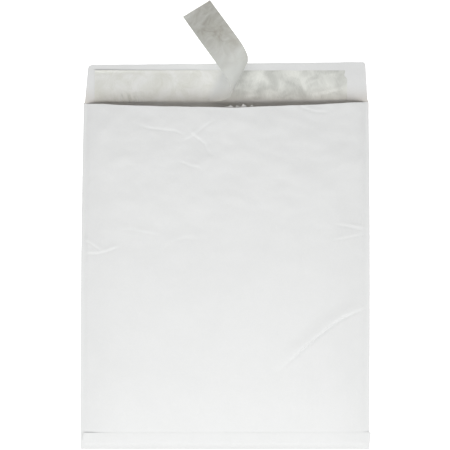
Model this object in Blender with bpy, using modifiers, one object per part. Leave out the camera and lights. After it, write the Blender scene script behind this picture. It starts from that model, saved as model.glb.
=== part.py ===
# Padded envelope, open at one end, lying on its back with the flap folded out flat.
# One folded sheet makes the outside. A bubble film web lines it. A band of hot melt crosses the
# flap, under a paper release liner that is peeled half way and curls up and back over itself.
# Metres, +Z up, +Y towards the flap, origin under the middle of the body.
import math

import bmesh
import bpy
from mathutils import Matrix, Vector

MM = 0.001

# Body outline
BOTTOM_Y = -153.9 * MM
LEFT_EDGE = {"bottom": -129.1 * MM, "middle": -128.6 * MM, "mouth": -126.1 * MM}
RIGHT_EDGE = {"bottom": 128.2 * MM, "middle": 129.0 * MM, "mouth": 127.9 * MM}
MOUTH_Y = {"left": 154.1 * MM, "middle": 150.2 * MM, "right": 155.6 * MM}

# Thicknesses and heights
SHEET = 0.25 * MM
CLEARANCE = 0.2 * MM
PAD = 2.6 * MM
PAD_PINCHED = 0.15 * MM
POCKET_DEEP = 6.2 * MM
POCKET_MOUTH = 7.2 * MM
SEAM_WIDTH = 3.2 * MM
BOTTOM_SEAM_WIDTH = 4.0 * MM
HEM_WIDTH = 15.3 * MM
HEM_STEP = 0.4 * MM

# How far in from a seam the padding and the pocket reach their full height
PAD_SIDE_REACH = 38.0 * MM
PAD_MOUTH_REACH = 15.0 * MM
MOUTH_SPREAD_FROM = 215.0 * MM
MOUTH_SPREAD_LENGTH = 80.0 * MM
PAD_END_REACH = 60.0 * MM
POCKET_SIDE_REACH = 120.0 * MM
POCKET_END_REACH = 150.0 * MM

# Flap, laid flat on from the back panel
FLAP_TOP_LEFT = Vector((-122.0, 188.6)) * MM
FLAP_TOP_RIGHT = Vector((124.8, 191.1)) * MM
FLAP_ROOT_INSET = 0.8 * MM
FLAP_CORNER = 3.0 * MM
FLAP_ROWS = (0.03, 0.35, 0.7, 1.0)

# Adhesive band and release liner
GLUE_BOTTOM_Y = 157.6 * MM
GLUE_TOP_Y = 183.6 * MM
GLUE_LEFT_X = -115.5 * MM
GLUE_RIGHT_X = 108.5 * MM
GLUE_LIFT = 0.1 * MM
GLUE_THICKNESS = 0.2 * MM
LINER_WIDTH = 28.0 * MM
LINER_LENGTH = 228.2 * MM
LINER_THICKNESS = 0.2 * MM
LINER_LEFT = Vector((-116.3, 169.7)) * MM
LINER_LIFT = 0.12 * MM
PEEL_FROM = 106.5 * MM
PEEL_ANGLE = math.radians(63.0)
PEEL_RADIUS = 18.0 * MM
CURL_STEPS = 14
DROOP_ANGLE = math.radians(48.0)
DROOP_STEPS = 8
DROOP_SHARE = 0.82
SQUARED_BY = 28.0 * MM
TIP_CUT_ANGLE = math.radians(100.0)

# Distances in from the side edge at which each surface has a row of points
OUTER_STEPS = [d * MM for d in (0.0, 1.6, 5.0, 10.0, 18.0, 32.0, 55.0, 88.0)]
CAVITY_STEPS = [d * MM for d in (3.2, 4.0, 6.0, 10.5, 18.0, 32.0, 55.0, 88.0)]
LINING_STEPS = [d * MM for d in (3.5, 4.4, 6.4, 10.7, 18.0, 32.0, 55.0, 88.0)]
POCKET_STEPS = [d * MM for d in (7.0, 8.2, 10.5, 13.5, 18.6, 32.0, 55.0, 88.0)]

# Distances up from the bottom edge at which each surface has a section
LONG_ENDS = [d * MM for d in (26.0, 44.0, 75.0, 115.0, 165.0, 215.0, 262.0)]
OUTER_ENDS = [d * MM for d in (0.0, 1.2, 5.5, 10.0, 15.2)]
CAVITY_ENDS = [d * MM for d in (4.0, 4.9, 7.0, 11.0, 17.0)]
LINING_ENDS = [d * MM for d in (4.3, 5.3, 7.4, 11.3, 17.2)]
POCKET_ENDS = [d * MM for d in (9.0, 10.4, 13.0, 16.5, 20.0)]


def clear_scene():
    for thing in list(bpy.data.objects):
        bpy.data.objects.remove(thing, do_unlink=True)


def make_collection(name):
    group = bpy.data.collections.new(name)
    bpy.context.scene.collection.children.link(group)
    return group


def make_material(name, color, roughness):
    material = bpy.data.materials.new(name)
    material.use_nodes = True
    shader = material.node_tree.nodes["Principled BSDF"]
    shader.inputs["Base Color"].default_value = (*color, 1.0)
    shader.inputs["Roughness"].default_value = roughness
    shader.inputs["Metallic"].default_value = 0.0
    return material


def add_object(name, mesh, material, group):
    thing = bpy.data.objects.new(name, mesh)
    thing.data.materials.append(material)
    group.objects.link(thing)
    return thing


def finish_mesh(shape, name, crease=math.radians(35.0)):
    """Turns a bmesh into a smooth-shaded mesh with its faces pointing out."""
    bmesh.ops.recalc_face_normals(shape, faces=shape.faces)
    mesh = bpy.data.meshes.new(name)
    shape.to_mesh(mesh)
    shape.free()
    mesh.shade_smooth()
    mesh.set_sharp_from_angle(angle=crease)
    return mesh


def through_three(first, middle, last, share):
    """A smooth run through three values, at share 0, one half and 1."""
    bow = 4.0 * (middle - 0.5 * (first + last))
    return first + (last - first) * share + bow * share * (1.0 - share)


def rise(distance, reach):
    """0 at a seam, 1 from reach onwards, rounded in between."""
    return math.sin(0.5 * math.pi * min(max(distance / reach, 0.0), 1.0))


def body_share(y):
    """How far up the body y is, from 0 at the bottom to 1 at the mouth."""
    return (y - BOTTOM_Y) / (MOUTH_Y["middle"] - BOTTOM_Y)


def mouth_y(side):
    """The front panel's free edge, from side -1 at the left to 1 at the right."""
    return through_three(MOUTH_Y["left"], MOUTH_Y["middle"], MOUTH_Y["right"], 0.5 + 0.5 * side)


def pad_thickness(in_from_side, up_from_bottom):
    """One layer of the lining, pinched at the seams."""
    spread = min(max((up_from_bottom - MOUTH_SPREAD_FROM) / MOUTH_SPREAD_LENGTH, 0.0), 1.0)
    reach = PAD_SIDE_REACH + (PAD_MOUTH_REACH - PAD_SIDE_REACH) * spread
    side = rise(in_from_side - SEAM_WIDTH, reach)
    end = rise(up_from_bottom - BOTTOM_SEAM_WIDTH, PAD_END_REACH)
    return PAD_PINCHED + (PAD - PAD_PINCHED) * side * end


def pocket_height(in_from_side, up_from_bottom):
    """The gap between the lining's two layers."""
    length = MOUTH_Y["middle"] - BOTTOM_Y
    deep = POCKET_DEEP * rise(up_from_bottom - BOTTOM_SEAM_WIDTH, POCKET_END_REACH)
    near_mouth = max(up_from_bottom / length - 0.6, 0.0) / 0.4
    deep += (POCKET_MOUTH - POCKET_DEEP) * near_mouth
    return deep * rise(in_from_side - SEAM_WIDTH, POCKET_SIDE_REACH)


def layer_heights(in_from_side, up_from_bottom):
    """Height of every surface from the floor up, at one place on the body."""
    pad = pad_thickness(in_from_side, up_from_bottom)
    cavity_floor = SHEET
    lining_under = cavity_floor + CLEARANCE
    pocket_floor = lining_under + pad
    pocket_roof = pocket_floor + pocket_height(in_from_side, up_from_bottom)
    lining_top = pocket_roof + pad
    cavity_roof = lining_top + CLEARANCE
    return {
        "outer": (0.0, cavity_roof + SHEET),
        "cavity": (cavity_floor, cavity_roof),
        "lining": (lining_under, lining_top),
        "pocket": (pocket_floor, pocket_roof),
    }


def outer_top(in_from_side, up_from_bottom):
    """The front panel's outside, with the flat welded margins and the hem laid on it."""
    top = layer_heights(in_from_side, up_from_bottom)["outer"][1]
    if in_from_side < SEAM_WIDTH or up_from_bottom < BOTTOM_SEAM_WIDTH:
        top = 2.0 * SHEET
    if up_from_bottom <= HEM_WIDTH:
        top += HEM_STEP
    return top


def across(y, steps):
    """X positions and distances from the nearer side edge, left to right."""
    share = body_share(y)
    left = through_three(LEFT_EDGE["bottom"], LEFT_EDGE["middle"], LEFT_EDGE["mouth"], share)
    right = through_three(RIGHT_EDGE["bottom"], RIGHT_EDGE["middle"], RIGHT_EDGE["mouth"], share)
    places = [(left + step, step) for step in steps]
    places.append((0.5 * (left + right), 0.5 * (right - left)))
    places += [(right - step, step) for step in reversed(steps)]
    return places, left, right


def section(shape, surface, steps, up_from_bottom=None):
    """One closed section of a surface: over the top left to right, then back underneath.

    Without a distance up from the bottom, the section follows the mouth's edge.
    """
    at_mouth = up_from_bottom is None
    y = MOUTH_Y["middle"] if at_mouth else BOTTOM_Y + up_from_bottom
    places, left, right = across(y, steps)
    top, low = [], []
    for x, in_from_side in places:
        side = (2.0 * x - left - right) / (right - left)
        here = mouth_y(side) if at_mouth else y
        up = here - BOTTOM_Y
        bottom_z, top_z = layer_heights(in_from_side, up)[surface]
        if surface == "outer":
            top_z = outer_top(in_from_side, up)
        top.append(shape.verts.new((x, here, top_z)))
        low.append(shape.verts.new((x, here, bottom_z)))
    return top + low[::-1]


def skin(shape, first, second, skip=()):
    """A band of quads between two rings of points."""
    count = len(first)
    for i in range(count):
        if i not in skip:
            after = (i + 1) % count
            shape.faces.new((first[i], first[after], second[after], second[i]))


def cap(shape, ring):
    """Closes a ring with quads from its top points to those below them."""
    for i in range(len(ring) // 2 - 1):
        shape.faces.new((ring[i], ring[i + 1], ring[-2 - i], ring[-1 - i]))


def skin_rings(shape, rings):
    for first, second in zip(rings, rings[1:]):
        skin(shape, first, second)


def pouch_rings(shape, surface, steps, ends):
    rings = [section(shape, surface, steps, end) for end in ends + LONG_ENDS]
    rings.append(section(shape, surface, steps))
    return rings


def make_outer_shell(group, material):
    """Back panel and flap, front panel, welded side margins and bottom hem, as one sheet."""
    shape = bmesh.new()
    hem_edge = [HEM_WIDTH, HEM_WIDTH + 0.2 * MM]
    outside = pouch_rings(shape, "outer", OUTER_STEPS, OUTER_ENDS + hem_edge)
    inside = pouch_rings(shape, "cavity", CAVITY_STEPS, CAVITY_ENDS)
    skin_rings(shape, outside)
    skin_rings(shape, inside)
    cap(shape, outside[0])
    cap(shape, inside[0])
    half = len(outside[0]) // 2
    back_lip = range(half, 2 * half - 1)
    skin(shape, outside[-1], inside[-1], skip=back_lip)
    root = inside[-1][half:][::-1] + outside[-1][half:]
    skin_rings(shape, [root] + flap_rings(shape, root))
    round_flap_corners(shape)
    return add_object("outer_shell", finish_mesh(shape, "outer_shell"), material, group)


def flap_rings(shape, root):
    """Carries the back panel's edge on as the flap, and closes its far edge."""
    half = len(root) // 2
    rings = []
    for row in FLAP_ROWS:
        top, low = [], []
        for under in reversed(root[half:]):
            side = (under.co.x - root[-1].co.x) / (root[half].co.x - root[-1].co.x)
            end = FLAP_TOP_LEFT.lerp(FLAP_TOP_RIGHT, side)
            start = Vector((under.co.x + FLAP_ROOT_INSET * (1.0 - 2.0 * side), under.co.y))
            place = start.lerp(end, row)
            top.append(shape.verts.new((place.x, place.y, SHEET)))
            low.append(shape.verts.new((place.x, place.y, 0.0)))
        rings.append(top + low[::-1])
    cap(shape, rings[-1])
    return rings


def round_flap_corners(shape):
    """Rounds the two upright edges at the flap's outer corners."""
    corners = []
    for edge in shape.edges:
        ends = [vert.co for vert in edge.verts]
        upright = (ends[0] - ends[1]).xy.length < 0.01 * MM
        at_corner = any((ends[0].xy - top).length < 0.1 * MM for top in (FLAP_TOP_LEFT, FLAP_TOP_RIGHT))
        if upright and at_corner:
            corners.append(edge)
    bmesh.ops.bevel(shape, geom=corners, offset=FLAP_CORNER, segments=4, profile=0.5, affect="EDGES")


def make_bubble_lining(group, material):
    """One web of bubble film, folded at the bottom into a pouch that stops at the mouth."""
    shape = bmesh.new()
    outside = pouch_rings(shape, "lining", LINING_STEPS, LINING_ENDS)
    inside = pouch_rings(shape, "pocket", POCKET_STEPS, POCKET_ENDS)
    skin_rings(shape, outside)
    skin_rings(shape, inside)
    skin(shape, outside[-1], inside[-1])
    cap(shape, outside[0])
    cap(shape, inside[0])
    return add_object("bubble_lining", finish_mesh(shape, "bubble_lining"), material, group)


def make_adhesive_strip(group, material):
    """A flat band of hot melt with a ragged right end."""
    low, high = GLUE_BOTTOM_Y, GLUE_TOP_Y
    ragged = ((-3.0, 0.0), (0.0, 0.2), (-1.6, 0.4), (-0.4, 0.62), (-4.2, 0.8), (-5.0, 1.0))
    outline = [(GLUE_LEFT_X, low)]
    outline += [(GLUE_RIGHT_X + x * MM, low + (high - low) * share) for x, share in ragged]
    outline.append((GLUE_LEFT_X, high))
    curve = bpy.data.curves.new("adhesive_strip", "CURVE")
    curve.dimensions = "2D"
    curve.fill_mode = "BOTH"
    curve.extrude = 0.5 * GLUE_THICKNESS
    spline = curve.splines.new("POLY")
    spline.points.add(len(outline) - 1)
    for point, (x, y) in zip(spline.points, outline):
        point.co = (x, y, 0.0, 1.0)
    spline.use_cyclic_u = True
    band = add_object("adhesive_strip", curve, material, group)
    band.location.z = SHEET + GLUE_LIFT + 0.5 * GLUE_THICKNESS
    return band


def liner_folds():
    """Each straight line that the liner bends along: place on its middle line, angle, bend.

    The lines start oblique, where the liner lifts off, and turn square to the liner further out,
    so the strip bends without stretching.
    """
    folds = []
    turn_at = PEEL_FROM
    step_angle = math.pi / CURL_STEPS
    step = PEEL_RADIUS * step_angle / math.sin(PEEL_ANGLE)
    for _ in range(CURL_STEPS):
        folds.append((turn_at, PEEL_ANGLE, step_angle))
        turn_at += step
    free = LINER_LENGTH - turn_at
    for i in range(DROOP_STEPS):
        share = (i + 1) / DROOP_STEPS
        square = min(share * free / SQUARED_BY, 1.0)
        angle = PEEL_ANGLE + (0.5 * math.pi - PEEL_ANGLE) * square
        folds.append((turn_at + DROOP_SHARE * free * share, angle, DROOP_ANGLE / DROOP_STEPS))
    return folds


def make_release_liner(group, material):
    """A paper strip: stuck along its left half, then curled up and back over the flap."""
    shape = bmesh.new()
    lines = []
    place = Vector((LINER_LEFT.x, LINER_LEFT.y, liner_height()))
    along, over = Vector((1.0, 0.0, 0.0)), Vector((0.0, 1.0, 0.0))

    def add_line(angle):
        ruling = along * math.cos(angle) + over * math.sin(angle)
        reach = 0.5 * LINER_WIDTH / math.sin(angle)
        lines.append([shape.verts.new(place + ruling * reach * side) for side in (-1.0, 0.0, 1.0)])
        return ruling

    reached = 0.0
    add_line(0.5 * math.pi)
    for turn_at, angle, bend in liner_folds():
        place = place + along * (turn_at - reached)
        reached = turn_at
        ruling = add_line(angle)
        turn = Matrix.Rotation(-bend, 3, ruling)
        along = turn @ along
        over = turn @ over
    place = place + along * (LINER_LENGTH - reached)
    add_line(TIP_CUT_ANGLE)
    for first, second in zip(lines, lines[1:]):
        for i in (0, 1):
            shape.faces.new((first[i], second[i], second[i + 1], first[i + 1]))
    strip = add_object("release_liner", finish_mesh(shape, "release_liner"), material, group)
    wall = strip.modifiers.new("paper", "SOLIDIFY")
    wall.thickness = LINER_THICKNESS
    wall.offset = 0.0
    return strip


def liner_height():
    """Height of the stuck part's middle surface above the floor."""
    return SHEET + GLUE_LIFT + GLUE_THICKNESS + LINER_LIFT + 0.5 * LINER_THICKNESS


def build():
    clear_scene()
    group = make_collection("padded_envelope")
    make_outer_shell(group, make_material("spunbonded_sheet", (0.80, 0.81, 0.80), 0.55))
    make_bubble_lining(group, make_material("bubble_film", (0.78, 0.79, 0.79), 0.3))
    make_adhesive_strip(group, make_material("hot_melt", (0.66, 0.67, 0.64), 0.25))
    make_release_liner(group, make_material("liner_paper", (0.64, 0.64, 0.59), 0.4))


build()
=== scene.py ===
import bpy
import math
from mathutils import Matrix, Vector, noise


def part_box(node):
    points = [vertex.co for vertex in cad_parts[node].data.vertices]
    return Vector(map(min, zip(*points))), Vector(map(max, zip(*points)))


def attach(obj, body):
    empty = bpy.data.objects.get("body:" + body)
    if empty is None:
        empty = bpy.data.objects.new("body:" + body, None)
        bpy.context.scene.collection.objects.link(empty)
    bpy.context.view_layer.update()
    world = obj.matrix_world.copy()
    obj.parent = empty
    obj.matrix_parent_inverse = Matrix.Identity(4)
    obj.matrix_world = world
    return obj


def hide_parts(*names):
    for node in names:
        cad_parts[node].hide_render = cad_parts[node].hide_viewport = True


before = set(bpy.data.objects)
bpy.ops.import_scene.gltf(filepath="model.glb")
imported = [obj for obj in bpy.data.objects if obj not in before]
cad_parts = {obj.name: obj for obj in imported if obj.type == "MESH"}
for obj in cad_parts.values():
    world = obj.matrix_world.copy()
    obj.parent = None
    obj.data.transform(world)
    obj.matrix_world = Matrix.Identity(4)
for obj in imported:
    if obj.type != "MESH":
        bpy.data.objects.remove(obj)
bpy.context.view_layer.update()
mm = 0.001
print("frame loaded")

# places that everything else is worked out from
shellLow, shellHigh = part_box("outer_shell")
glueLow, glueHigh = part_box("adhesive_strip")

# the envelope's cut and how full it is
body = {
    "bottomY": shellLow[1],
    "leftBottom": shellLow[0],
    "leftMiddle": shellLow[0] + 0.5 * mm,
    "leftMouth": shellLow[0] + 3.0 * mm,
    "rightBottom": shellHigh[0] - 0.8 * mm,
    "rightMiddle": shellHigh[0],
    "rightMouth": shellHigh[0] - 1.1 * mm,
    "mouthLeftY": shellLow[1] + 308.0 * mm,
    "mouthMiddleY": shellLow[1] + 304.1 * mm,
    "mouthRightY": shellLow[1] + 309.5 * mm,
    "sheet": 0.2 * mm,
    "seam": 3.2 * mm,          # welded margin down each side
    "endSeam": 4.0 * mm,
    "pad": 2.6 * mm,           # one layer of bubble film
    "pinched": 0.15 * mm,
    "pocket": 6.2 * mm,
    "pocketAtMouth": 7.2 * mm,
    "padReach": 38.0 * mm,     # how far in from a side the padding is at full height
    "padMouthReach": 15.0 * mm,
    "padEndReach": 60.0 * mm,
    "sideReach": 120.0 * mm,   # and the pocket inside it
    "endReach": 150.0 * mm,
    "spreadFrom": 215.0 * mm,  # height up the body where the mouth starts to hold the sides open
    "spreadOver": 80.0 * mm,
    "opensFrom": 0.6,          # share of the length from which the pocket deepens to the mouth
    "clear": 0.2 * mm,
}


def throughThree(first, middle, last, share):
    bow = 4.0 * (middle - 0.5 * (first + last))
    return first + (last - first) * share + bow * share * (1.0 - share)


def smooth(value):
    value = min(max(value, 0.0), 1.0)
    return value * value * (3.0 - 2.0 * value)


def rise(distance, reach):
    return math.sin(0.5 * math.pi * min(max(distance / reach, 0.0), 1.0))


def sideEdges(y):
    share = (y - body["bottomY"]) / (body["mouthMiddleY"] - body["bottomY"])
    left = throughThree(body["leftBottom"], body["leftMiddle"], body["leftMouth"], share)
    right = throughThree(body["rightBottom"], body["rightMiddle"], body["rightMouth"], share)
    return left, right


def mouthY(across):
    return throughThree(body["mouthLeftY"], body["mouthMiddleY"], body["mouthRightY"], across)


def padHeight(inSide, up):
    # the sides fill out more quickly where the mouth is held open
    nearMouth = smooth((up - body["spreadFrom"]) / body["spreadOver"])
    reach = body["padReach"] + (body["padMouthReach"] - body["padReach"]) * nearMouth
    full = rise(inSide - body["seam"], reach) * rise(up - body["endSeam"], body["padEndReach"])
    return body["pinched"] + (body["pad"] - body["pinched"]) * full


def pocketHeight(inSide, up):
    length = body["mouthMiddleY"] - body["bottomY"]
    deep = body["pocket"] * rise(up - body["endSeam"], body["endReach"])
    opened = max(up / length - body["opensFrom"], 0.0) / (1.0 - body["opensFrom"])
    deep += (body["pocketAtMouth"] - body["pocket"]) * opened
    return deep * rise(inSide - body["seam"], body["sideReach"])


def waves(x, y, size, seed=0.0):
    # gentle unevenness between -1 and 1, over about the given size
    return noise.noise(Vector((x / size, y / size, seed)))


# the flap lies nearly flat: its far edge and corners stand up a little
flap = {
    "topLeft": (-122.0 * mm, shellHigh[1] - 2.5 * mm),
    "topRight": (124.8 * mm, shellHigh[1]),
    "rootInset": 0.8 * mm,
    "corner": 3.0 * mm,
    "lift": 0.9 * mm,
    "liftFrom": 4.0 * mm,      # the stretch past the mouth that stays flat
    "liftOver": 30.0 * mm,
}


def flapLift(x, y):
    out = smooth((y - body["mouthMiddleY"] - flap["liftFrom"]) / flap["liftOver"])
    uneven = 0.5 + 0.5 * waves(x, y, 38.0 * mm, 3.1) + 0.35 * waves(x, y, 13.0 * mm, 7.7)
    return flap["lift"] * out * max(uneven, 0.0)


# creases in the front panel, each along a path in millimetres
# gentle and steep are the widths of its two flanks, dip is the groove past the steep one
creases = [
    {"path": [(46, -82), (60, -69.5), (70, -60.5), (82, -50.5), (92, -42.6), (102, -36), (112, -31), (126, -26)],
     "height": 1.1, "gentle": 7.5, "steep": 2.4, "dip": 0.85},
    {"path": [(97, 48), (112, 45.6), (127, 42.4)],
     "height": 0.25, "gentle": 3.4, "steep": 1.8, "dip": 0.2},
    {"path": [(95, 34), (104, 35), (112, 37), (127, 39.8)],
     "height": 0.2, "gentle": 3.0, "steep": 1.8, "dip": 0.16},
    {"path": [(-127, 21.4), (-114, 21.6), (-104, 24), (-92, 29)],
     "height": 0.32, "gentle": 3.0, "steep": 1.6, "dip": 0.26},
    {"path": [(-127, 34.5), (-119, 30.5), (-108, 23)],
     "height": 0.27, "gentle": 2.4, "steep": 1.5, "dip": 0.2},
    {"path": [(-78, 136), (-66, 132.7), (-55, 131.6), (-44, 130.4), (-34, 126.2)],
     "height": 0.1, "gentle": 3.6, "steep": 1.8, "dip": 0.28},
    {"path": [(-40, 120), (-30, 125.5), (-17, 136), (-8, 141)],
     "height": 0.18, "gentle": 3.6, "steep": 2.2, "dip": 0.16},
    {"path": [(-32, 131), (-24, 124), (-17, 119), (-13, 110)],
     "height": 0.12, "gentle": 3.4, "steep": 2.2, "dip": 0.32},
    {"path": [(-40, 103.6), (-31, 99.5), (-20, 97)],
     "height": 0.14, "gentle": 2.6, "steep": 1.6, "dip": 0.18},
    {"path": [(64, 155), (70, 150.5), (80, 147.5), (92, 147)],
     "height": 0.24, "gentle": 3.2, "steep": 1.8, "dip": 0.26},
    {"path": [(-95, 43), (-84, 43.6), (-72, 41), (-56, 38)],
     "height": 0.1, "gentle": 3.0, "steep": 2.0, "dip": 0.1},
    {"path": [(-60, 24), (-48, 33), (-36, 37), (-20, 35)],
     "height": 0.08, "gentle": 5.0, "steep": 3.0, "dip": 0.08},
    {"path": [(-118, -50), (-112, -56), (-104, -58)],
     "height": 0.1, "gentle": 2.6, "steep": 1.8, "dip": 0.1},
]
creaseReach = 14.0     # millimetres to either side that a crease can move
creaseTaper = 6.0
creaseEnd = 0.25       # share of its length over which it dies out
grooveWidth = 0.9


def creaseProfile(crease, away):
    if away < 0.0:
        return crease["height"] * math.exp(-((away / crease["gentle"]) ** 2))
    if away < crease["steep"]:
        drop = smooth(away / crease["steep"])
        return crease["height"] * (1.0 - drop) - crease["dip"] * drop
    return -crease["dip"] * math.exp(-(away - crease["steep"]) / grooveWidth)


def nearPath(path, x, y):
    # signed distance to the right of a path, and how far along it that is
    nearest, away, along = math.inf, 0.0, 0.0
    for i in range(len(path) - 1):
        ax, ay = path[i]
        dx, dy = path[i + 1][0] - ax, path[i + 1][1] - ay
        share = min(max(((x - ax) * dx + (y - ay) * dy) / (dx * dx + dy * dy), 0.0), 1.0)
        gap = math.hypot(x - ax - dx * share, y - ay - dy * share)
        if gap < nearest:
            nearest, away = gap, math.copysign(gap, (x - ax) * dy - (y - ay) * dx)
            along = (i + share) / (len(path) - 1)
    return away, along


def creasesNear(x, y):
    # places are in metres here and the paths in millimetres
    x, y = x / mm, y / mm
    for crease in creases:
        path = crease["path"]
        if path[0][0] - creaseReach < x < path[-1][0] + creaseReach:
            away, along = nearPath(path, x, y)
            if abs(away) < creaseReach:
                yield crease, away, along


def creaseHeight(x, y):
    total = 0.0
    for crease, away, along in creasesNear(x, y):
        ends = smooth(along / creaseEnd) * smooth((1.0 - along) / creaseEnd)
        sides = smooth((creaseReach - abs(away)) / creaseTaper)
        total += creaseProfile(crease, away) * (0.1 + 0.9 * ends) * sides
    return total * mm


# the bubbles inside print through faintly as rows, most of all low on the right
printThrough = {
    "pitch": 9.2 * mm,
    "depth": 0.08 * mm,
    "elsewhere": 0.16,
    "left": 46.0 * mm,
    "right": 92.0 * mm,
    "sideFade": 12.0 * mm,
    "low": -136.0 * mm,
    "lowFade": 8.0 * mm,
    "high": -68.0 * mm,
    "highFade": 14.0 * mm,
}


def bubblePrint(x, y):
    p = printThrough
    window = smooth((x - p["left"]) / p["sideFade"]) * smooth((p["right"] - x) / p["sideFade"])
    window *= smooth((y - p["low"]) / p["lowFade"]) * smooth((p["high"] - y) / p["highFade"])
    rows = math.cos(2.0 * math.pi * x / p["pitch"])
    hexes = math.cos(2.0 * math.pi * y / p["pitch"]) * rows
    return p["depth"] * (window * rows + p["elsewhere"] * hexes)


# how the front panel lies: flat at its welds, then full, and more and more uneven towards the mouth
# each unevenness is a height in millimetres, more near the mouth, and how it leans across the panel
panel = {
    "weldedSheets": 1.6,
    "weldEdge": 0.4 * mm,
    "weldRise": 6.5 * mm,
    "endWeldEdge": 2.5 * mm,
    "endWeldRise": 4.0 * mm,
    "unevenFrom": 120.0 * mm,
    "unevenOver": 170.0 * mm,
    "unevenness": [
        {"size": 55.0 * mm, "seed": 1.3, "height": 0.45, "more": 0.4, "across": (1.0, 0.0), "up": (0.0, 1.0)},
        {"size": 24.0 * mm, "seed": 5.2, "height": 0.16, "more": 0.5, "across": (1.0, 0.0), "up": (0.0, 1.3)},
        {"size": 12.0 * mm, "seed": 2.9, "height": 0.06, "more": 0.24, "across": (1.0, 0.4), "up": (-0.3, 1.5)},
        {"size": 5.5 * mm, "seed": 6.9, "height": 0.018, "more": 0.055, "across": (1.0, -0.3), "up": (0.5, 1.3)},
    ],
    "calmEnd": 16.0 * mm,      # under the hem the panel is nearly flat
    "calmOver": 20.0 * mm,
    "calmShare": 0.15,
    "pucker": 0.16 * mm,       # small puckers beside the welds
    "puckerSize": 7.0 * mm,
    "puckerFrom": 6.0 * mm,
    "puckerWidth": 5.0 * mm,
}


def unevenHeight(x, y, nearMouth):
    total = 0.0
    for wave in panel["unevenness"]:
        across = wave["across"][0] * x + wave["across"][1] * y
        up = wave["up"][0] * x + wave["up"][1] * y
        total += (wave["height"] + wave["more"] * nearMouth) * waves(across, up, wave["size"], wave["seed"])
    return total * mm


def frontHeight(x, y):
    # middle of the front panel's sheet above the floor
    left, right = sideEdges(y)
    inSide = max(min(x - left, right - x), 0.0)
    up = y - body["bottomY"]
    full = 2.0 * padHeight(inSide, up) + pocketHeight(inSide, up) + 2.0 * body["clear"] + 1.5 * body["sheet"]
    pressed = panel["weldedSheets"] * body["sheet"]
    off = smooth((inSide - panel["weldEdge"]) / panel["weldRise"])
    off *= smooth((up - panel["endWeldEdge"]) / panel["endWeldRise"])
    z = pressed + (full - pressed) * off
    nearMouth = smooth((up - panel["unevenFrom"]) / panel["unevenOver"])
    calm = smooth((up - panel["calmEnd"]) / panel["calmOver"])
    off *= calm * (1.0 - panel["calmShare"]) + panel["calmShare"]
    z += (unevenHeight(x, y, nearMouth) + creaseHeight(x, y) + bubblePrint(x, y)) * off
    besideWeld = math.exp(-(((inSide - panel["puckerFrom"]) / panel["puckerWidth"]) ** 2))
    return z + panel["pucker"] * waves(0.3 * x, y, panel["puckerSize"], 9.4) * besideWeld * off


def clearSelection():
    for thing in bpy.context.selected_objects:
        thing.select_set(False)


def makeGrid(name, columns, rows):
    # a flat grid of points from -1 to 1 each way, to be laid out as a sheet
    clearSelection()
    bpy.ops.mesh.primitive_grid_add(x_subdivisions=columns, y_subdivisions=rows, size=2.0)
    sheet = bpy.context.object
    sheet.name = name
    sheet.data.name = name
    return sheet


def layOut(sheet, place):
    # place gives a point's position from its shares across and up the flat sheet
    for vert in sheet.data.vertices:
        vert.co = place(0.5 + 0.5 * vert.co.x, 0.5 + 0.5 * vert.co.y)
    sheet.data.update()


def applyModifier(piece, modifier):
    clearSelection()
    piece.select_set(True)
    bpy.context.view_layer.objects.active = piece
    bpy.ops.object.modifier_apply(modifier=modifier.name)


def giveThickness(piece, thickness, offset=0.0, innerSlot=0):
    wall = piece.modifiers.new("thickness", "SOLIDIFY")
    wall.thickness = thickness
    wall.offset = offset
    wall.material_offset = innerSlot
    wall.material_offset_rim = 0
    applyModifier(piece, wall)


smoothAngle = 38.0     # degrees


def facesOut(piece):
    clearSelection()
    piece.select_set(True)
    bpy.context.view_layer.objects.active = piece
    bpy.ops.object.mode_set(mode="EDIT")
    bpy.ops.mesh.select_all(action="SELECT")
    bpy.ops.mesh.normals_make_consistent(inside=False)
    bpy.ops.object.mode_set(mode="OBJECT")
    bpy.ops.object.shade_smooth_by_angle(angle=math.radians(smoothAngle))


def joinInto(main, *others):
    clearSelection()
    for piece in (main, *others):
        piece.select_set(True)
    bpy.context.view_layer.objects.active = main
    bpy.ops.object.join()
    return main


def newMaterial(name):
    material = bpy.data.materials.new(name)
    material.use_nodes = True
    nodes, links = material.node_tree.nodes, material.node_tree.links
    return material, nodes, links, nodes["Principled BSDF"]


def addNoise(nodes, links, vector, scale, detail=4.0, rough=0.55, distortion=0.0):
    texture = nodes.new("ShaderNodeTexNoise")
    texture.inputs["Scale"].default_value = scale
    texture.inputs["Detail"].default_value = detail
    texture.inputs["Roughness"].default_value = rough
    texture.inputs["Distortion"].default_value = distortion
    links.new(vector, texture.inputs["Vector"])
    return texture.outputs["Fac"]


def mapTo(nodes, links, value, low, high, fromLow=0.3, fromHigh=0.7):
    ramp = nodes.new("ShaderNodeMapRange")
    ramp.inputs["From Min"].default_value = fromLow
    ramp.inputs["From Max"].default_value = fromHigh
    ramp.inputs["To Min"].default_value = low
    ramp.inputs["To Max"].default_value = high
    links.new(value, ramp.inputs["Value"])
    return ramp.outputs["Result"]


def combine(nodes, links, first, second, operation="ADD"):
    sums = nodes.new("ShaderNodeMath")
    sums.operation = operation
    for socket, value in zip(sums.inputs, (first, second)):
        if isinstance(value, float):
            socket.default_value = value
        else:
            links.new(value, socket)
    return sums.outputs["Value"]


def mixColors(nodes, links, share, first, second):
    mix = nodes.new("ShaderNodeMix")
    mix.data_type = "RGBA"
    links.new(share, mix.inputs["Factor"])
    for socket, color in ((mix.inputs["A"], first), (mix.inputs["B"], second)):
        if isinstance(color, tuple):
            socket.default_value = (*color, 1.0)
        else:
            links.new(color, socket)
    return mix.outputs["Result"]


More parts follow.
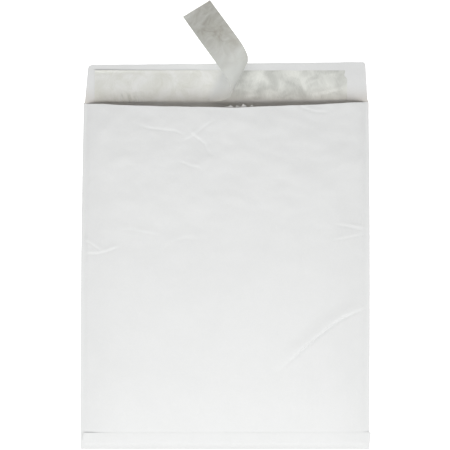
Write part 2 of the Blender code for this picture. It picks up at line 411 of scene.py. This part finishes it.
def addBump(nodes, links, height, distance, strength=1.0, over=None):
    bump = nodes.new("ShaderNodeBump")
    bump.inputs["Distance"].default_value = distance
    bump.inputs["Strength"].default_value = strength
    links.new(height, bump.inputs["Height"])
    if over is not None:
        links.new(over, bump.inputs["Normal"])
    return bump.outputs["Normal"]


def fibres(nodes, links, vector, turns, fine=130.0, coarse=620.0):
    # long thin streaks laid over each other in a few directions, as spun fibres are
    total = None
    for turn in turns:
        # each layer is turned and moved, so that no two are alike, and then drawn out
        turned = nodes.new("ShaderNodeMapping")
        turned.inputs["Rotation"].default_value = (0.0, 0.0, math.radians(turn))
        turned.inputs["Location"].default_value = (turn * 0.37, turn * 0.11, 0.0)
        links.new(vector, turned.inputs["Vector"])
        drawn = nodes.new("ShaderNodeMapping")
        drawn.inputs["Scale"].default_value = (fine, coarse, fine)
        links.new(turned.outputs["Vector"], drawn.inputs["Vector"])
        streak = addNoise(nodes, links, drawn.outputs["Vector"], 1.0, detail=3.0, rough=0.6, distortion=1.4)
        total = streak if total is None else combine(nodes, links, total, streak, "MAXIMUM")
    return total


# painted shade: colour is darkened and browned towards the mouth, standing in for the shadow the raised front
# panel casts on the flap, adhesive and liner
paintedMouthShade = {
    "from": 172.0 * mm,
    "to": 155.5 * mm,
    "share": 0.62,
    "color": (0.52, 0.465, 0.40),
    "sheetHigh": 0.28 * mm,    # the flap's flat root lies below this, and the front panel above
    "mouthEnd": 155.8 * mm,    # past every part of the mouth's edge
    "mouthStart": 149.0 * mm,
}


def addPaintedMouthShade(nodes, links, place, color, only=None):
    # painted shade: the colour darkens to brown towards the mouth, where the raised front panel shades the flap
    spot = nodes.new("ShaderNodeSeparateXYZ")
    links.new(place, spot.inputs["Vector"])
    low = mapTo(nodes, links, spot.outputs["Y"], 0.0, 1.0, paintedMouthShade["from"], paintedMouthShade["to"])
    low = combine(nodes, links, low, 1.6, "POWER")
    patchy = mapTo(nodes, links, addNoise(nodes, links, place, 60.0, detail=3.0, rough=0.5), 0.7, 1.0)
    share = combine(nodes, links, low, combine(nodes, links, patchy, paintedMouthShade["share"], "MULTIPLY"), "MULTIPLY")
    if only is not None:
        share = combine(nodes, links, share, only, "MULTIPLY")
    return mixColors(nodes, links, share, color, paintedMouthShade["color"])


def onFlapOnly(nodes, links, place):
    # where the painted mouth shade may go: 1 on the flap's inner face, 0 on the front panel and everywhere below
    # the mouth
    spot = nodes.new("ShaderNodeSeparateXYZ")
    links.new(place, spot.inputs["Vector"])
    high, up = spot.outputs["Z"], spot.outputs["Y"]
    flat = mapTo(nodes, links, high, 1.0, 0.0, paintedMouthShade["sheetHigh"], paintedMouthShade["sheetHigh"] + 0.08 * mm)
    out = mapTo(nodes, links, up, 0.0, 1.0, paintedMouthShade["mouthEnd"], paintedMouthShade["mouthEnd"] + 1.0 * mm)
    past = mapTo(nodes, links, up, 0.0, 1.0, paintedMouthShade["mouthStart"], paintedMouthShade["mouthStart"] + 2.0 * mm)
    past = combine(nodes, links, past, combine(nodes, links, flat, out, "MAXIMUM"), "MULTIPLY")
    low = mapTo(nodes, links, high, 1.0, 0.0, 2.0 * mm, 4.0 * mm)
    return combine(nodes, links, low, past, "MULTIPLY")


sheetLook = {
    "dark": (0.735, 0.742, 0.738),
    "light": (0.775, 0.780, 0.777),
    "fibreTurns": (14, 47, 78, 109, 152),
}


def makeSheetMaterial():
    material, nodes, links, shader = newMaterial("spunbondedSheet")
    place = nodes.new("ShaderNodeTexCoord").outputs["Object"]
    streaks = fibres(nodes, links, place, sheetLook["fibreTurns"])
    clouds = addNoise(nodes, links, place, 42.0, detail=5.0, rough=0.6, distortion=0.5)
    fine = addNoise(nodes, links, place, 420.0, detail=4.0, rough=0.6)
    mottled = combine(nodes, links, mapTo(nodes, links, streaks, 0.0, 0.6, 0.5, 0.8),
                      mapTo(nodes, links, clouds, 0.0, 0.4))
    color = mixColors(nodes, links, mottled, sheetLook["dark"], sheetLook["light"])
    # painted shade on the flap's root beside the mouth
    shadedColor = addPaintedMouthShade(nodes, links, place, color, onFlapOnly(nodes, links, place))
    links.new(shadedColor, shader.inputs["Base Color"])
    links.new(mapTo(nodes, links, streaks, 0.62, 0.46, 0.45, 0.85), shader.inputs["Roughness"])
    shader.inputs["Specular IOR Level"].default_value = 0.35
    shader.inputs["Sheen Weight"].default_value = 0.08
    height = combine(nodes, links, streaks, combine(nodes, links, fine, 0.35, "MULTIPLY"))
    links.new(addBump(nodes, links, height, 0.00012, 0.5), shader.inputs["Normal"])
    return material


filmLook = {"dark": (0.80, 0.785, 0.76), "light": (0.88, 0.87, 0.85)}


def makeFilmMaterial():
    material, nodes, links, shader = newMaterial("bubbleFilm")
    place = nodes.new("ShaderNodeTexCoord").outputs["Object"]
    clouds = addNoise(nodes, links, place, 90.0, detail=3.0, rough=0.5)
    color = mixColors(nodes, links, clouds, filmLook["dark"], filmLook["light"])
    links.new(color, shader.inputs["Base Color"])
    links.new(mapTo(nodes, links, clouds, 0.16, 0.34), shader.inputs["Roughness"])
    shader.inputs["Transmission Weight"].default_value = 0.1
    shader.inputs["Coat Weight"].default_value = 0.25
    shader.inputs["Coat Roughness"].default_value = 0.1
    wrinkles = addNoise(nodes, links, place, 260.0, detail=4.0, rough=0.6, distortion=1.2)
    links.new(addBump(nodes, links, wrinkles, 0.0002, 0.6), shader.inputs["Normal"])
    return material


glueLook = {"dark": (0.57, 0.58, 0.545), "light": (0.79, 0.80, 0.755), "smearTurns": (66, 108)}


def makeGlueMaterial():
    material, nodes, links, shader = newMaterial("hotMelt")
    place = nodes.new("ShaderNodeTexCoord").outputs["Object"]
    blotches = addNoise(nodes, links, place, 80.0, detail=3.0, rough=0.45, distortion=0.5)
    smears = fibres(nodes, links, place, glueLook["smearTurns"], fine=45.0, coarse=210.0)
    color = mixColors(nodes, links, mapTo(nodes, links, blotches, 0.0, 1.0, 0.35, 0.65),
                      glueLook["dark"], glueLook["light"])
    # painted shade towards the mouth
    links.new(addPaintedMouthShade(nodes, links, place, color), shader.inputs["Base Color"])
    links.new(mapTo(nodes, links, smears, 0.18, 0.42, 0.4, 0.8), shader.inputs["Roughness"])
    shader.inputs["Specular IOR Level"].default_value = 0.5
    shader.inputs["Coat Weight"].default_value = 0.2
    shader.inputs["Coat Roughness"].default_value = 0.15
    height = combine(nodes, links, blotches, combine(nodes, links, smears, 0.6, "MULTIPLY"))
    links.new(addBump(nodes, links, height, 0.0009, 0.7), shader.inputs["Normal"])
    return material


# the release liner's two sides, the painted light low on its release side, and the line on the flap from which
# it is lifted
stripColors = {
    "backLight": (0.90, 0.905, 0.86),
    "backDark": (0.745, 0.75, 0.665),
    "releaseLight": (0.50, 0.51, 0.495),
    "releaseDark": (0.29, 0.275, 0.25),
    "paintedLight": (0.50, 0.51, 0.495),
    "lifted": (0.73, 0.74, 0.715),
}
peelLine = {"slope": 0.51, "start": -100.3 * mm, "fade": 7.0 * mm, "lowest": 5.0 * mm, "highest": 9.0 * mm}
paintedLightStretch = 34.0 * mm


def makePaperMaterial(name, light, dark, roughLow, roughHigh, coat, lifted=False, paintedLightUpTo=0.0):
    material, nodes, links, shader = newMaterial(name)
    place = nodes.new("ShaderNodeTexCoord").outputs["Object"]
    stains = addNoise(nodes, links, place, 75.0, detail=5.0, rough=0.62, distortion=0.8)
    grain = addNoise(nodes, links, place, 900.0, detail=3.0, rough=0.6)
    share = combine(nodes, links, mapTo(nodes, links, stains, 0.0, 0.85, 0.32, 0.68),
                    mapTo(nodes, links, grain, 0.0, 0.15))
    color = mixColors(nodes, links, share, dark, light)
    spot = nodes.new("ShaderNodeSeparateXYZ")
    links.new(place, spot.inputs["Vector"])
    if lifted:
        # paper stuck to the adhesive looks wet and yellow, lifted paper is greyer
        slanted = combine(nodes, links, spot.outputs["Y"], -peelLine["slope"], "MULTIPLY")
        past = combine(nodes, links, spot.outputs["X"], slanted)
        past = mapTo(nodes, links, past, 0.0, 1.0, peelLine["start"], peelLine["start"] + peelLine["fade"])
        high = mapTo(nodes, links, spot.outputs["Z"], 0.0, 1.0, peelLine["lowest"], peelLine["highest"])
        either = combine(nodes, links, past, high, "MAXIMUM")
        color = mixColors(nodes, links, either, color, stripColors["lifted"])
    if paintedLightUpTo:
        # painted light: the release side is painted lighter low down near the curl, and darker further up the
        # strip
        paintedLight = mapTo(nodes, links, spot.outputs["Y"], 1.0, 0.0, paintedLightUpTo - paintedLightStretch, paintedLightUpTo)
        color = mixColors(nodes, links, paintedLight, color, stripColors["paintedLight"])
    # painted shade towards the mouth
    links.new(addPaintedMouthShade(nodes, links, place, color), shader.inputs["Base Color"])
    links.new(mapTo(nodes, links, stains, roughLow, roughHigh), shader.inputs["Roughness"])
    shader.inputs["Coat Weight"].default_value = coat
    shader.inputs["Coat Roughness"].default_value = 0.2
    shader.inputs["Subsurface Weight"].default_value = 0.4
    shader.inputs["Subsurface Scale"].default_value = 0.0006
    shader.inputs["Subsurface Radius"].default_value = (1.0, 1.0, 0.9)
    height = combine(nodes, links, stains, combine(nodes, links, grain, 0.12, "MULTIPLY"))
    links.new(addBump(nodes, links, height, 0.0003, 0.5), shader.inputs["Normal"])
    return material


sheetMaterial = makeSheetMaterial()
filmMaterial = makeFilmMaterial()
glueMaterial = makeGlueMaterial()
linerBack = makePaperMaterial("linerBack", stripColors["backLight"], stripColors["backDark"],
                              roughLow=0.5, roughHigh=0.65, coat=0.0, lifted=True)
# the release side carries painted light near the curl
linerRelease = makePaperMaterial("linerRelease", stripColors["releaseLight"], stripColors["releaseDark"],
                                 roughLow=0.3, roughHigh=0.45, coat=0.1, paintedLightUpTo=212.0 * mm)
print("materials made")


# the back panel, flap and hem are one sheet, and the front panel is its other half
shell = {
    "frontColumns": 160,
    "frontRows": 172,
    "backColumns": 120,
    "hemWidth": 15.3 * mm,
    "hemRows": 13,
    "foldRows": 5,
    "backRows": 46,
    "flapRows": 32,
    "hemGap": 0.215 * mm,
    "hemBond": 0.09 * mm,
    "hemLift": 1.0 * mm,       # how far the hem's ends stand off the panel
    "hemEnds": (0.045, 0.025), # the share of the width that each end takes to lie down
    "edgeWobble": 0.25 * mm,
    "foldedEdge": 1.3 * mm,    # from the bottom fold to the front panel's own end
    "foldBulge": 0.3 * mm,
    "mouthDip": 0.9 * mm,      # the mouth's edge is dented a little, right of its middle
    "dipAt": 0.53,
    "dipWidth": 0.07,
    "creaseHalf": 5.0,         # millimetres beside a crease that get smaller faces
}


def frontPlace(across, up):
    bottom = body["bottomY"] + shell["foldedEdge"]
    top = mouthY(across) + shell["edgeWobble"] * waves(across, 0.0, 0.05, 4.0)
    top -= shell["mouthDip"] * math.exp(-(((across - shell["dipAt"]) / shell["dipWidth"]) ** 2))
    y = bottom + (top - bottom) * up
    left, right = sideEdges(y)
    inset = 0.35 * mm + 0.8 * shell["edgeWobble"] * waves(y, across, 9.0 * mm, 6.0)
    x = left + inset + (right - left - 2.0 * inset) * across
    return Vector((x, y, frontHeight(x, y)))


def hemPlace(across, share):
    # share 0 is the hem's free edge, 1 is where it starts to turn under
    y = body["bottomY"] + shell["foldBulge"] + (shell["hemWidth"] - shell["foldBulge"]) * (1.0 - share)
    y += 0.5 * mm * (across - 0.5) * (1.0 - share)
    left, right = sideEdges(y)
    inset = 3.1 * mm * (1.0 - share) + 0.2 * mm
    x = left + inset + (right - left - 0.55 * inset) * across
    leftEnd, rightEnd = shell["hemEnds"]
    ends = math.exp(-((across / leftEnd) ** 2)) + 0.7 * math.exp(-(((1.0 - across) / rightEnd) ** 2))
    lift = shell["hemLift"] * ends * smooth(1.0 - 1.6 * share)
    uneven = 0.05 * mm * abs(waves(x, y, 16.0 * mm, 8.0))
    under = frontHeight(x, max(y, body["bottomY"] + shell["foldedEdge"]))
    bonded = shell["hemBond"] * (1.0 - smooth(share * 8.0)) * (1.0 - min(ends, 1.0))
    return Vector((x, y, under + shell["hemGap"] + uneven * (1.0 - share) + lift - bonded))


def backPlace(across, row):
    s = shell
    if row <= s["hemRows"]:
        return hemPlace(across, row / s["hemRows"])
    row -= s["hemRows"]
    if row <= s["foldRows"]:
        turn = math.pi * row / s["foldRows"]
        start = hemPlace(across, 1.0)
        middle = 0.5 * (start.z + 0.5 * body["sheet"])
        radius = start.z - middle
        y = start.y - s["foldBulge"] * math.sin(turn)
        return Vector((start.x, y, middle + radius * math.cos(turn)))
    row -= s["foldRows"]
    root = mouthY(across)
    if row <= s["backRows"]:
        start = body["bottomY"] + s["foldBulge"]
        y = start + (root - start) * row / s["backRows"]
        left, right = sideEdges(y)
        wobble = 0.6 * s["edgeWobble"] * waves(y, across, 8.0 * mm, 2.0)
        return Vector((left + wobble + (right - left) * across, y, 0.5 * body["sheet"]))
    row -= s["backRows"]
    return flapPlace(across, row / s["flapRows"])


def flapPlace(across, out):
    left, right = sideEdges(mouthY(across))
    top = flap["topLeft"][1] + (flap["topRight"][1] - flap["topLeft"][1]) * across
    top += 0.35 * mm * waves(across, 0.0, 0.07, 5.0) * smooth(out * 2.0 - 1.0)
    root = mouthY(across)
    eased = out ** 0.9
    y = root + (top - root) * eased
    short = flap["corner"] - min(top - y, flap["corner"])
    rounded = flap["corner"] - math.sqrt(max(flap["corner"] ** 2 - short ** 2, 0.0))
    taperIn = flap["rootInset"] * smooth(eased * 30.0)
    leftX = left + taperIn + (flap["topLeft"][0] - left - flap["rootInset"]) * eased + rounded
    rightX = right - taperIn - (right - flap["rootInset"] - flap["topRight"][0]) * eased - 0.6 * rounded
    wobble = 0.8 * shell["edgeWobble"] * waves(y, across, 6.0 * mm, 12.0) * smooth(eased * 6.0)
    x = leftX + wobble + (rightX - leftX) * across
    return Vector((x, y, 0.5 * body["sheet"] + flapLift(x, y)))


def refineCreases(front):
    # smaller faces where the panel is creased
    bpy.ops.object.mode_set(mode="EDIT")
    bpy.ops.mesh.select_mode(type="FACE")
    bpy.ops.mesh.select_all(action="DESELECT")
    bpy.ops.object.mode_set(mode="OBJECT")
    for face in front.data.polygons:
        middle = frontPlace(0.5 + 0.5 * face.center.x, 0.5 + 0.5 * face.center.y)
        near = creasesNear(middle.x, middle.y)
        face.select = any(abs(away) < shell["creaseHalf"] for _, away, _ in near)
    bpy.ops.object.mode_set(mode="EDIT")
    bpy.ops.mesh.subdivide(number_cuts=1)
    bpy.ops.object.mode_set(mode="OBJECT")


def makeShell():
    front = makeGrid("frontPanel", shell["frontColumns"], shell["frontRows"])
    refineCreases(front)
    layOut(front, frontPlace)
    giveThickness(front, body["sheet"])
    rows = shell["hemRows"] + shell["foldRows"] + shell["backRows"] + shell["flapRows"]
    back = makeGrid("shell", shell["backColumns"], rows)
    layOut(back, lambda across, up: backPlace(across, round(up * rows)))
    giveThickness(back, body["sheet"])
    joinInto(back, front)
    back.data.materials.append(sheetMaterial)
    facesOut(back)
    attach(back, "root")
    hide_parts("outer_shell")
    return back


shellPiece = makeShell()
print("outer shell made", len(shellPiece.data.polygons))


# the bubble lining is one web folded at the bottom, its bubbles outwards
lining = {
    "columns": 128,
    "mouthRows": 26,            # fine rows over the first stretch inside the mouth
    "mouthStretch": 44.0 * mm,
    "farRows": 62,
    "foldRows": 3,
    "film": 0.22 * mm,
    "pitch": 10.0 * mm,
    "bubble": 2.15 * mm,
    "bubbleRadius": 4.4 * mm,
    "bubbleWall": 2.2 * mm,    # how far in from its rim a bubble is at full height
    "inset": 3.2 * mm,
    "insetFade": 5.0 * mm,
    "layerGap": 0.04 * mm,
    "raggedAt": 16.0 * mm,     # the film's front edge stands out of the mouth about here
    "raggedWidth": 24.0 * mm,
}


def liningY(row, across):
    # distance along the web is row by row: mouth to bottom
    top = mouthY(across) - 0.7 * mm
    bottom = body["bottomY"] + body["endSeam"] + 2.5 * mm
    if row <= lining["mouthRows"]:
        return top - lining["mouthStretch"] * row / lining["mouthRows"]
    share = (row - lining["mouthRows"]) / lining["farRows"]
    start = top - lining["mouthStretch"]
    return start + (bottom - start) * share


def raggedEdge(x):
    middle = math.exp(-(((x - lining["raggedAt"]) / lining["raggedWidth"]) ** 2))
    return (0.4 + max(0.4 + 4.2 * waves(x, 0.0, 3.6 * mm, 4.4), 0.0)) * mm * middle


def liningPlace(across, row):
    front = row <= lining["mouthRows"] + lining["farRows"]
    total = 2 * (lining["mouthRows"] + lining["farRows"]) + lining["foldRows"]
    fromMouth = row if front else total - row
    fromMouth = min(fromMouth, lining["mouthRows"] + lining["farRows"])
    y = liningY(fromMouth, across)
    left, right = sideEdges(y)
    inset = body["seam"] + lining["inset"]
    x = left + inset + (right - left - 2.0 * inset) * across
    if front and row == 0:
        y += raggedEdge(x)
    inSide = min(x - left, right - x)
    up = y - body["bottomY"]
    floor = body["sheet"] + body["clear"] + padHeight(inSide, up)
    if front:
        return Vector((x, y, floor + pocketHeight(inSide, up) + lining["layerGap"]))
    return Vector((x, y, floor - lining["layerGap"]))


def bubbleHeight(x, y):
    # bubbles stand in rows, every other row shifted by half a pitch
    rowPitch = lining["pitch"] * 0.866
    row = round(y / rowPitch)
    best = math.inf
    for near in (row - 1, row, row + 1):
        shift = 0.5 * lining["pitch"] * (near % 2)
        column = round((x - shift) / lining["pitch"])
        gap = math.hypot(x - column * lining["pitch"] - shift, y - near * rowPitch)
        best = min(best, gap)
    return rise(lining["bubbleRadius"] - best, lining["bubbleWall"])


def makeLining():
    rows = 2 * (lining["mouthRows"] + lining["farRows"]) + lining["foldRows"]
    web = makeGrid("lining", lining["columns"], rows)
    layOut(web, lambda across, up: liningPlace(across, round((1.0 - up) * rows)))
    count = len(web.data.vertices)
    inner = [vert.co.copy() for vert in web.data.vertices]
    giveThickness(web, lining["film"], -1.0)
    for i, place in enumerate(inner):
        left, right = sideEdges(place.y)
        inSide = min(place.x - left, right - place.x)
        full = padHeight(inSide, place.y - body["bottomY"]) - body["pinched"] - lining["film"]
        front = i >= count // 2
        way = 1.0 if front else -1.0
        swell = max(min(full, lining["bubble"]), 0.0) * bubbleHeight(place.x, place.y)
        swell *= smooth((inSide - body["seam"] - lining["inset"]) / lining["insetFade"])
        outer = web.data.vertices[count + i]
        outer.co = place + Vector((0.0, 0.0, way * (lining["film"] + swell)))
        if front:
            # the bubbles are pressed flatter where the sheet over them dips
            under = frontHeight(place.x, place.y) - body["sheet"] - body["clear"]
            outer.co.z = min(outer.co.z, under)
            web.data.vertices[i].co.z = min(place.z, under - lining["film"])
    web.data.update()
    web.data.materials.append(filmMaterial)
    facesOut(web)
    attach(web, "root")
    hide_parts("bubble_lining")
    return web


liningPiece = makeLining()
print("bubble lining made", len(liningPiece.data.polygons))


# the adhesive band and the release liner lie on the flap
glue = {
    "thickness": 0.12 * mm,
    "columns": 224,
    "rows": 26,
    "gap": 0.03 * mm,
    "lumps": 0.16 * mm,
    "lumpsFrom": 8.0 * mm,     # left of this the liner presses the glue flat
    "lumpsOver": 16.0 * mm,
    "edge": 2.0 * mm,
    "ragged": 4.0 * mm,
}
# folds and drags in the glue: path, height and width in millimetres
glueMarks = [
    {"path": [(66, 161.6), (80, 163.4), (92, 165.8), (103, 169), (111, 173)], "height": 0.5, "width": 2.1},
    {"path": [(4, 158.5), (12, 161.5), (24, 163.2), (36, 163)], "height": 0.6, "width": 2.2},
    {"path": [(88, 183.4), (95, 181.6), (101, 181), (108, 182)], "height": -0.3, "width": 1.8},
    {"path": [(26, 176), (28, 170), (30, 165)], "height": 0.16, "width": 2.6},
    {"path": [(40, 170), (46, 166), (50, 160)], "height": -0.16, "width": 3.0},
    {"path": [(58, 174), (62, 168), (68, 164)], "height": -0.18, "width": 2.6},
]


def glueMark(x, y):
    total = 0.0
    for mark in glueMarks:
        away, along = nearPath(mark["path"], x / mm, y / mm)
        fade = smooth(along / 0.3) * smooth((1.0 - along) / 0.3)
        total += mark["height"] * fade * math.exp(-((away / mark["width"]) ** 2))
    return total * mm


def onFlap(x, y):
    return body["sheet"] + flapLift(x, y)


def gluePlace(across, up):
    y = glueLow[1] + (glueHigh[1] - glueLow[1]) * up + 0.4 * mm * waves(across, up, 0.06, 3.0)
    ragged = glue["ragged"] * (0.5 + waves(y, 0.0, 5.0 * mm, 6.6) - 0.9 * smooth(up * 1.5 - 0.5))
    right = glueHigh[0] - 1.0 * mm + min(ragged, 1.0 * mm)
    x = glueLow[0] + (right - glueLow[0]) * across
    return Vector((x, y, onFlap(x, y) + glue["gap"] + 0.5 * glue["thickness"]))


def makeGlue():
    band = makeGrid("adhesiveBand", glue["columns"], glue["rows"])
    layOut(band, gluePlace)
    giveThickness(band, glue["thickness"])
    for vert in band.data.vertices:
        x, y = vert.co.x, vert.co.y
        edge = min(y - glueLow[1], glueHigh[1] - y, glueHigh[0] - x)
        if vert.co.z > onFlap(x, y) + glue["gap"] + 0.5 * glue["thickness"]:
            lump = max(waves(x, y, 12.0 * mm, 1.7), -0.3) + 0.5 * waves(x, y, 5.0 * mm, 2.2)
            free = smooth((x - glue["lumpsFrom"]) / glue["lumpsOver"])
            lumps = glue["lumps"] * max(lump + 0.3, 0.0) + max(glueMark(x, y), -0.5 * glue["thickness"])
            vert.co.z += lumps * free * smooth(edge / glue["edge"])
    band.data.update()
    band.data.materials.append(glueMaterial)
    facesOut(band)
    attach(band, "root")
    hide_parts("adhesive_strip")
    return band


liner = {
    "left": (-116.3 * mm, 169.7 * mm),
    "length": 228.2 * mm,
    "width": 28.0 * mm,
    "thickness": 0.1 * mm,
    "columns": 222,
    "rows": 28,
    "peelFrom": 106.5 * mm,
    "peelAngle": math.radians(63.0),
    "peelRadius": 18.0 * mm,
    "curlSteps": 60,
    "droop": math.radians(48.0),
    "droopSteps": 40,
    "droopShare": 0.82,
    "squaredBy": 28.0 * mm,
    "tipSkew": 2.5 * mm,
    "tipShare": 0.2,
    "stuckGap": 0.12 * mm,
    "freeGap": 0.75 * mm,
    "lets": 12.0 * mm,         # the stretch past the peel over which the flap stops shaping it
    "edgeLift": 1.0 * mm,      # the top edge has come unstuck
    "edgeFrom": 11.5 * mm,
    "edgeOver": 2.5 * mm,
    "edgeMost": 26.0 * mm,
    "puckerLift": 1.5 * mm,    # upright puckers at the lower left
    "puckerAt": 30.0 * mm,
    "puckerWidth": 17.0 * mm,
    "puckerPitch": 6.4 * mm,
    "peelRidge": 0.3 * mm,
    "crumple": 0.22 * mm,
    "fineCrumple": 0.1 * mm,
}


def linerFolds():
    # lines that the strip bends along: place on its middle line, angle to it, bend
    folds = []
    at = liner["peelFrom"]
    stepBend = math.pi / liner["curlSteps"]
    for _ in range(liner["curlSteps"]):
        folds.append((at, liner["peelAngle"], stepBend))
        at += liner["peelRadius"] * stepBend / math.sin(liner["peelAngle"])
    free = liner["length"] - at
    for i in range(liner["droopSteps"]):
        share = (i + 1) / liner["droopSteps"]
        square = min(share * free / liner["squaredBy"], 1.0)
        angle = liner["peelAngle"] + (0.5 * math.pi - liner["peelAngle"]) * square
        folds.append((at + liner["droopShare"] * free * share, angle, liner["droop"] / liner["droopSteps"]))
    return folds


def bentPanels():
    # the strip turned about each line in turn, so it bends and never stretches
    panels = [(None, Matrix.Identity(4))]
    turned = Matrix.Identity(4)
    for at, angle, bend in linerFolds():
        pivot = Matrix.Translation((at, 0.0, 0.0))
        axis = Vector((math.cos(angle), math.sin(angle), 0.0))
        turned = turned @ pivot @ Matrix.Rotation(-bend, 4, axis) @ pivot.inverted()
        panels.append(((at, 1.0 / math.tan(angle)), turned.copy()))
    return panels


def linerFlatLift(x, y, along, over):
    # puckers near the mouth, the top edge standing off a little, and fine crumple
    stuck = smooth((liner["peelFrom"] - 8.0 * mm - along) / (14.0 * mm))
    topEdge = smooth((over - liner["edgeFrom"]) / liner["edgeOver"])
    topEdge *= 0.6 + 0.4 * math.exp(-(along / liner["edgeMost"]) ** 2)
    lift = liner["edgeLift"] * topEdge * stuck * (0.75 + 0.7 * waves(along, 0.0, 24.0 * mm, 3.3))
    window = math.exp(-(((along - liner["puckerAt"]) / liner["puckerWidth"]) ** 2))
    window *= smooth((-over - 4.0 * mm) / (6.0 * mm))
    ridges = max(math.sin(2.0 * math.pi * (along + 0.35 * over) / liner["puckerPitch"]), 0.0) ** 2
    lift += liner["puckerLift"] * window * ridges
    fromPeel = along - liner["peelFrom"] - over / math.tan(liner["peelAngle"])
    lift += liner["peelRidge"] * math.exp(-(((fromPeel - 1.0 * mm) / (1.3 * mm)) ** 2))
    return lift + 0.12 * mm * max(waves(x, y, 17.0 * mm, 2.6) + 0.3, 0.0)


def makeLiner():
    strip = makeGrid("releaseLiner", liner["columns"], liner["rows"])
    panels = bentPanels()
    base = Vector((liner["left"][0], liner["left"][1], 0.0))
    for vert in strip.data.vertices:
        along = (0.5 + 0.5 * vert.co.x) * liner["length"]
        over = 0.5 * vert.co.y * liner["width"]
        beforeTip = (1.0 - liner["tipShare"]) * liner["length"]
        nearTip = smooth((along - beforeTip) / (liner["tipShare"] * liner["length"]))
        along -= liner["tipSkew"] * (over / (0.5 * liner["width"])) * nearTip
        panel = 0
        while panel + 1 < len(panels) and along > panels[panel + 1][0][0] + over * panels[panel + 1][0][1]:
            panel += 1
        turn = panels[panel][1]
        place = turn @ Vector((along, over, 0.0)) + base
        up = turn.to_3x3() @ Vector((0.0, 0.0, 1.0))
        ground = onFlap(place.x, place.y) + glue["thickness"] + liner["stuckGap"]
        rooted = math.exp(-max(along - liner["peelFrom"], 0.0) / liner["lets"])
        lift = linerFlatLift(place.x, place.y, along, over)
        crumple = liner["crumple"] * waves(along, over, 11.0 * mm, 5.8)
        crumple += liner["fineCrumple"] * waves(along, over, 4.0 * mm, 8.8)
        place.z += ground * rooted + liner["freeGap"] * (1.0 - rooted)
        place += up * (lift * rooted + crumple * (1.0 - rooted))
        vert.co = place
    strip.data.update()
    strip.data.materials.append(linerBack)
    strip.data.materials.append(linerRelease)
    giveThickness(strip, liner["thickness"], 0.0, 1)
    facesOut(strip)
    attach(strip, "root")
    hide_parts("release_liner")
    return strip


makeGlue()
makeLiner()
print("adhesive band and liner made")


stage = {
    "floorSize": 6.0,
    "floorBelow": 0.2 * mm,
    "floorGlow": 0.75,
    "keyPower": 14.2,
    "keyPlace": (0.0, -0.78, 1.12),
    "keyAim": (0.0, -0.05, 0.0),
    "keySize": 2.3,
    "keyDepth": 1.1,
    "overheadPower": 1.97,
    "overheadPlace": (0.0, -0.155, 0.66),
    "overheadAim": (0.0, 0.12, 0.0),
    "overheadSize": 1.4,
    "overheadDepth": 0.16,
    "skyStrength": 0.38,
    "cameraHeight": 1.3,
    "cameraAim": (-0.2 * mm, 45.9 * mm),
    "seenWidth": 401.0 * mm,
    "sensor": 36.0,
}


def makeFloor():
    clearSelection()
    bpy.ops.mesh.primitive_plane_add(size=stage["floorSize"], location=(0.0, 0.0, -stage["floorBelow"]))
    floor = bpy.context.object
    floor.name = "floor"
    material, nodes, links, shader = newMaterial("floorPaper")
    shader.inputs["Base Color"].default_value = (0.8, 0.8, 0.8, 1.0)
    shader.inputs["Roughness"].default_value = 0.9
    shader.inputs["Specular IOR Level"].default_value = 0.1
    shader.inputs["Emission Color"].default_value = (1.0, 1.0, 1.0, 1.0)
    shader.inputs["Emission Strength"].default_value = stage["floorGlow"]
    floor.data.materials.append(material)


def makeLights():
    world = bpy.data.worlds.new("studio")
    bpy.context.scene.world = world
    world.use_nodes = True
    background = world.node_tree.nodes["Background"]
    background.inputs["Color"].default_value = (1.0, 1.0, 1.0, 1.0)
    background.inputs["Strength"].default_value = stage["skyStrength"]
    for name in ("key", "overhead"):
        clearSelection()
        bpy.ops.object.light_add(type="AREA", location=stage[name + "Place"])
        lamp = bpy.context.object
        lamp.name = name + "Light"
        lamp.data.shape = "RECTANGLE"
        lamp.data.size = stage[name + "Size"]
        lamp.data.size_y = stage[name + "Depth"]
        lamp.data.energy = stage[name + "Power"]
        aim = Vector(stage[name + "Aim"]) - lamp.location
        lamp.rotation_euler = aim.to_track_quat("-Z", "Y").to_euler()


def makeCamera():
    clearSelection()
    x, y = stage["cameraAim"]
    bpy.ops.object.camera_add(location=(x, y, stage["cameraHeight"]), rotation=(0.0, 0.0, 0.0))
    camera = bpy.context.object
    camera.data.sensor_width = stage["sensor"]
    camera.data.lens = stage["sensor"] * stage["cameraHeight"] / stage["seenWidth"]
    bpy.context.scene.camera = camera
    bpy.context.scene.view_settings.view_transform = "Standard"


makeFloor()
makeLights()
makeCamera()
print("floor, light and camera made")
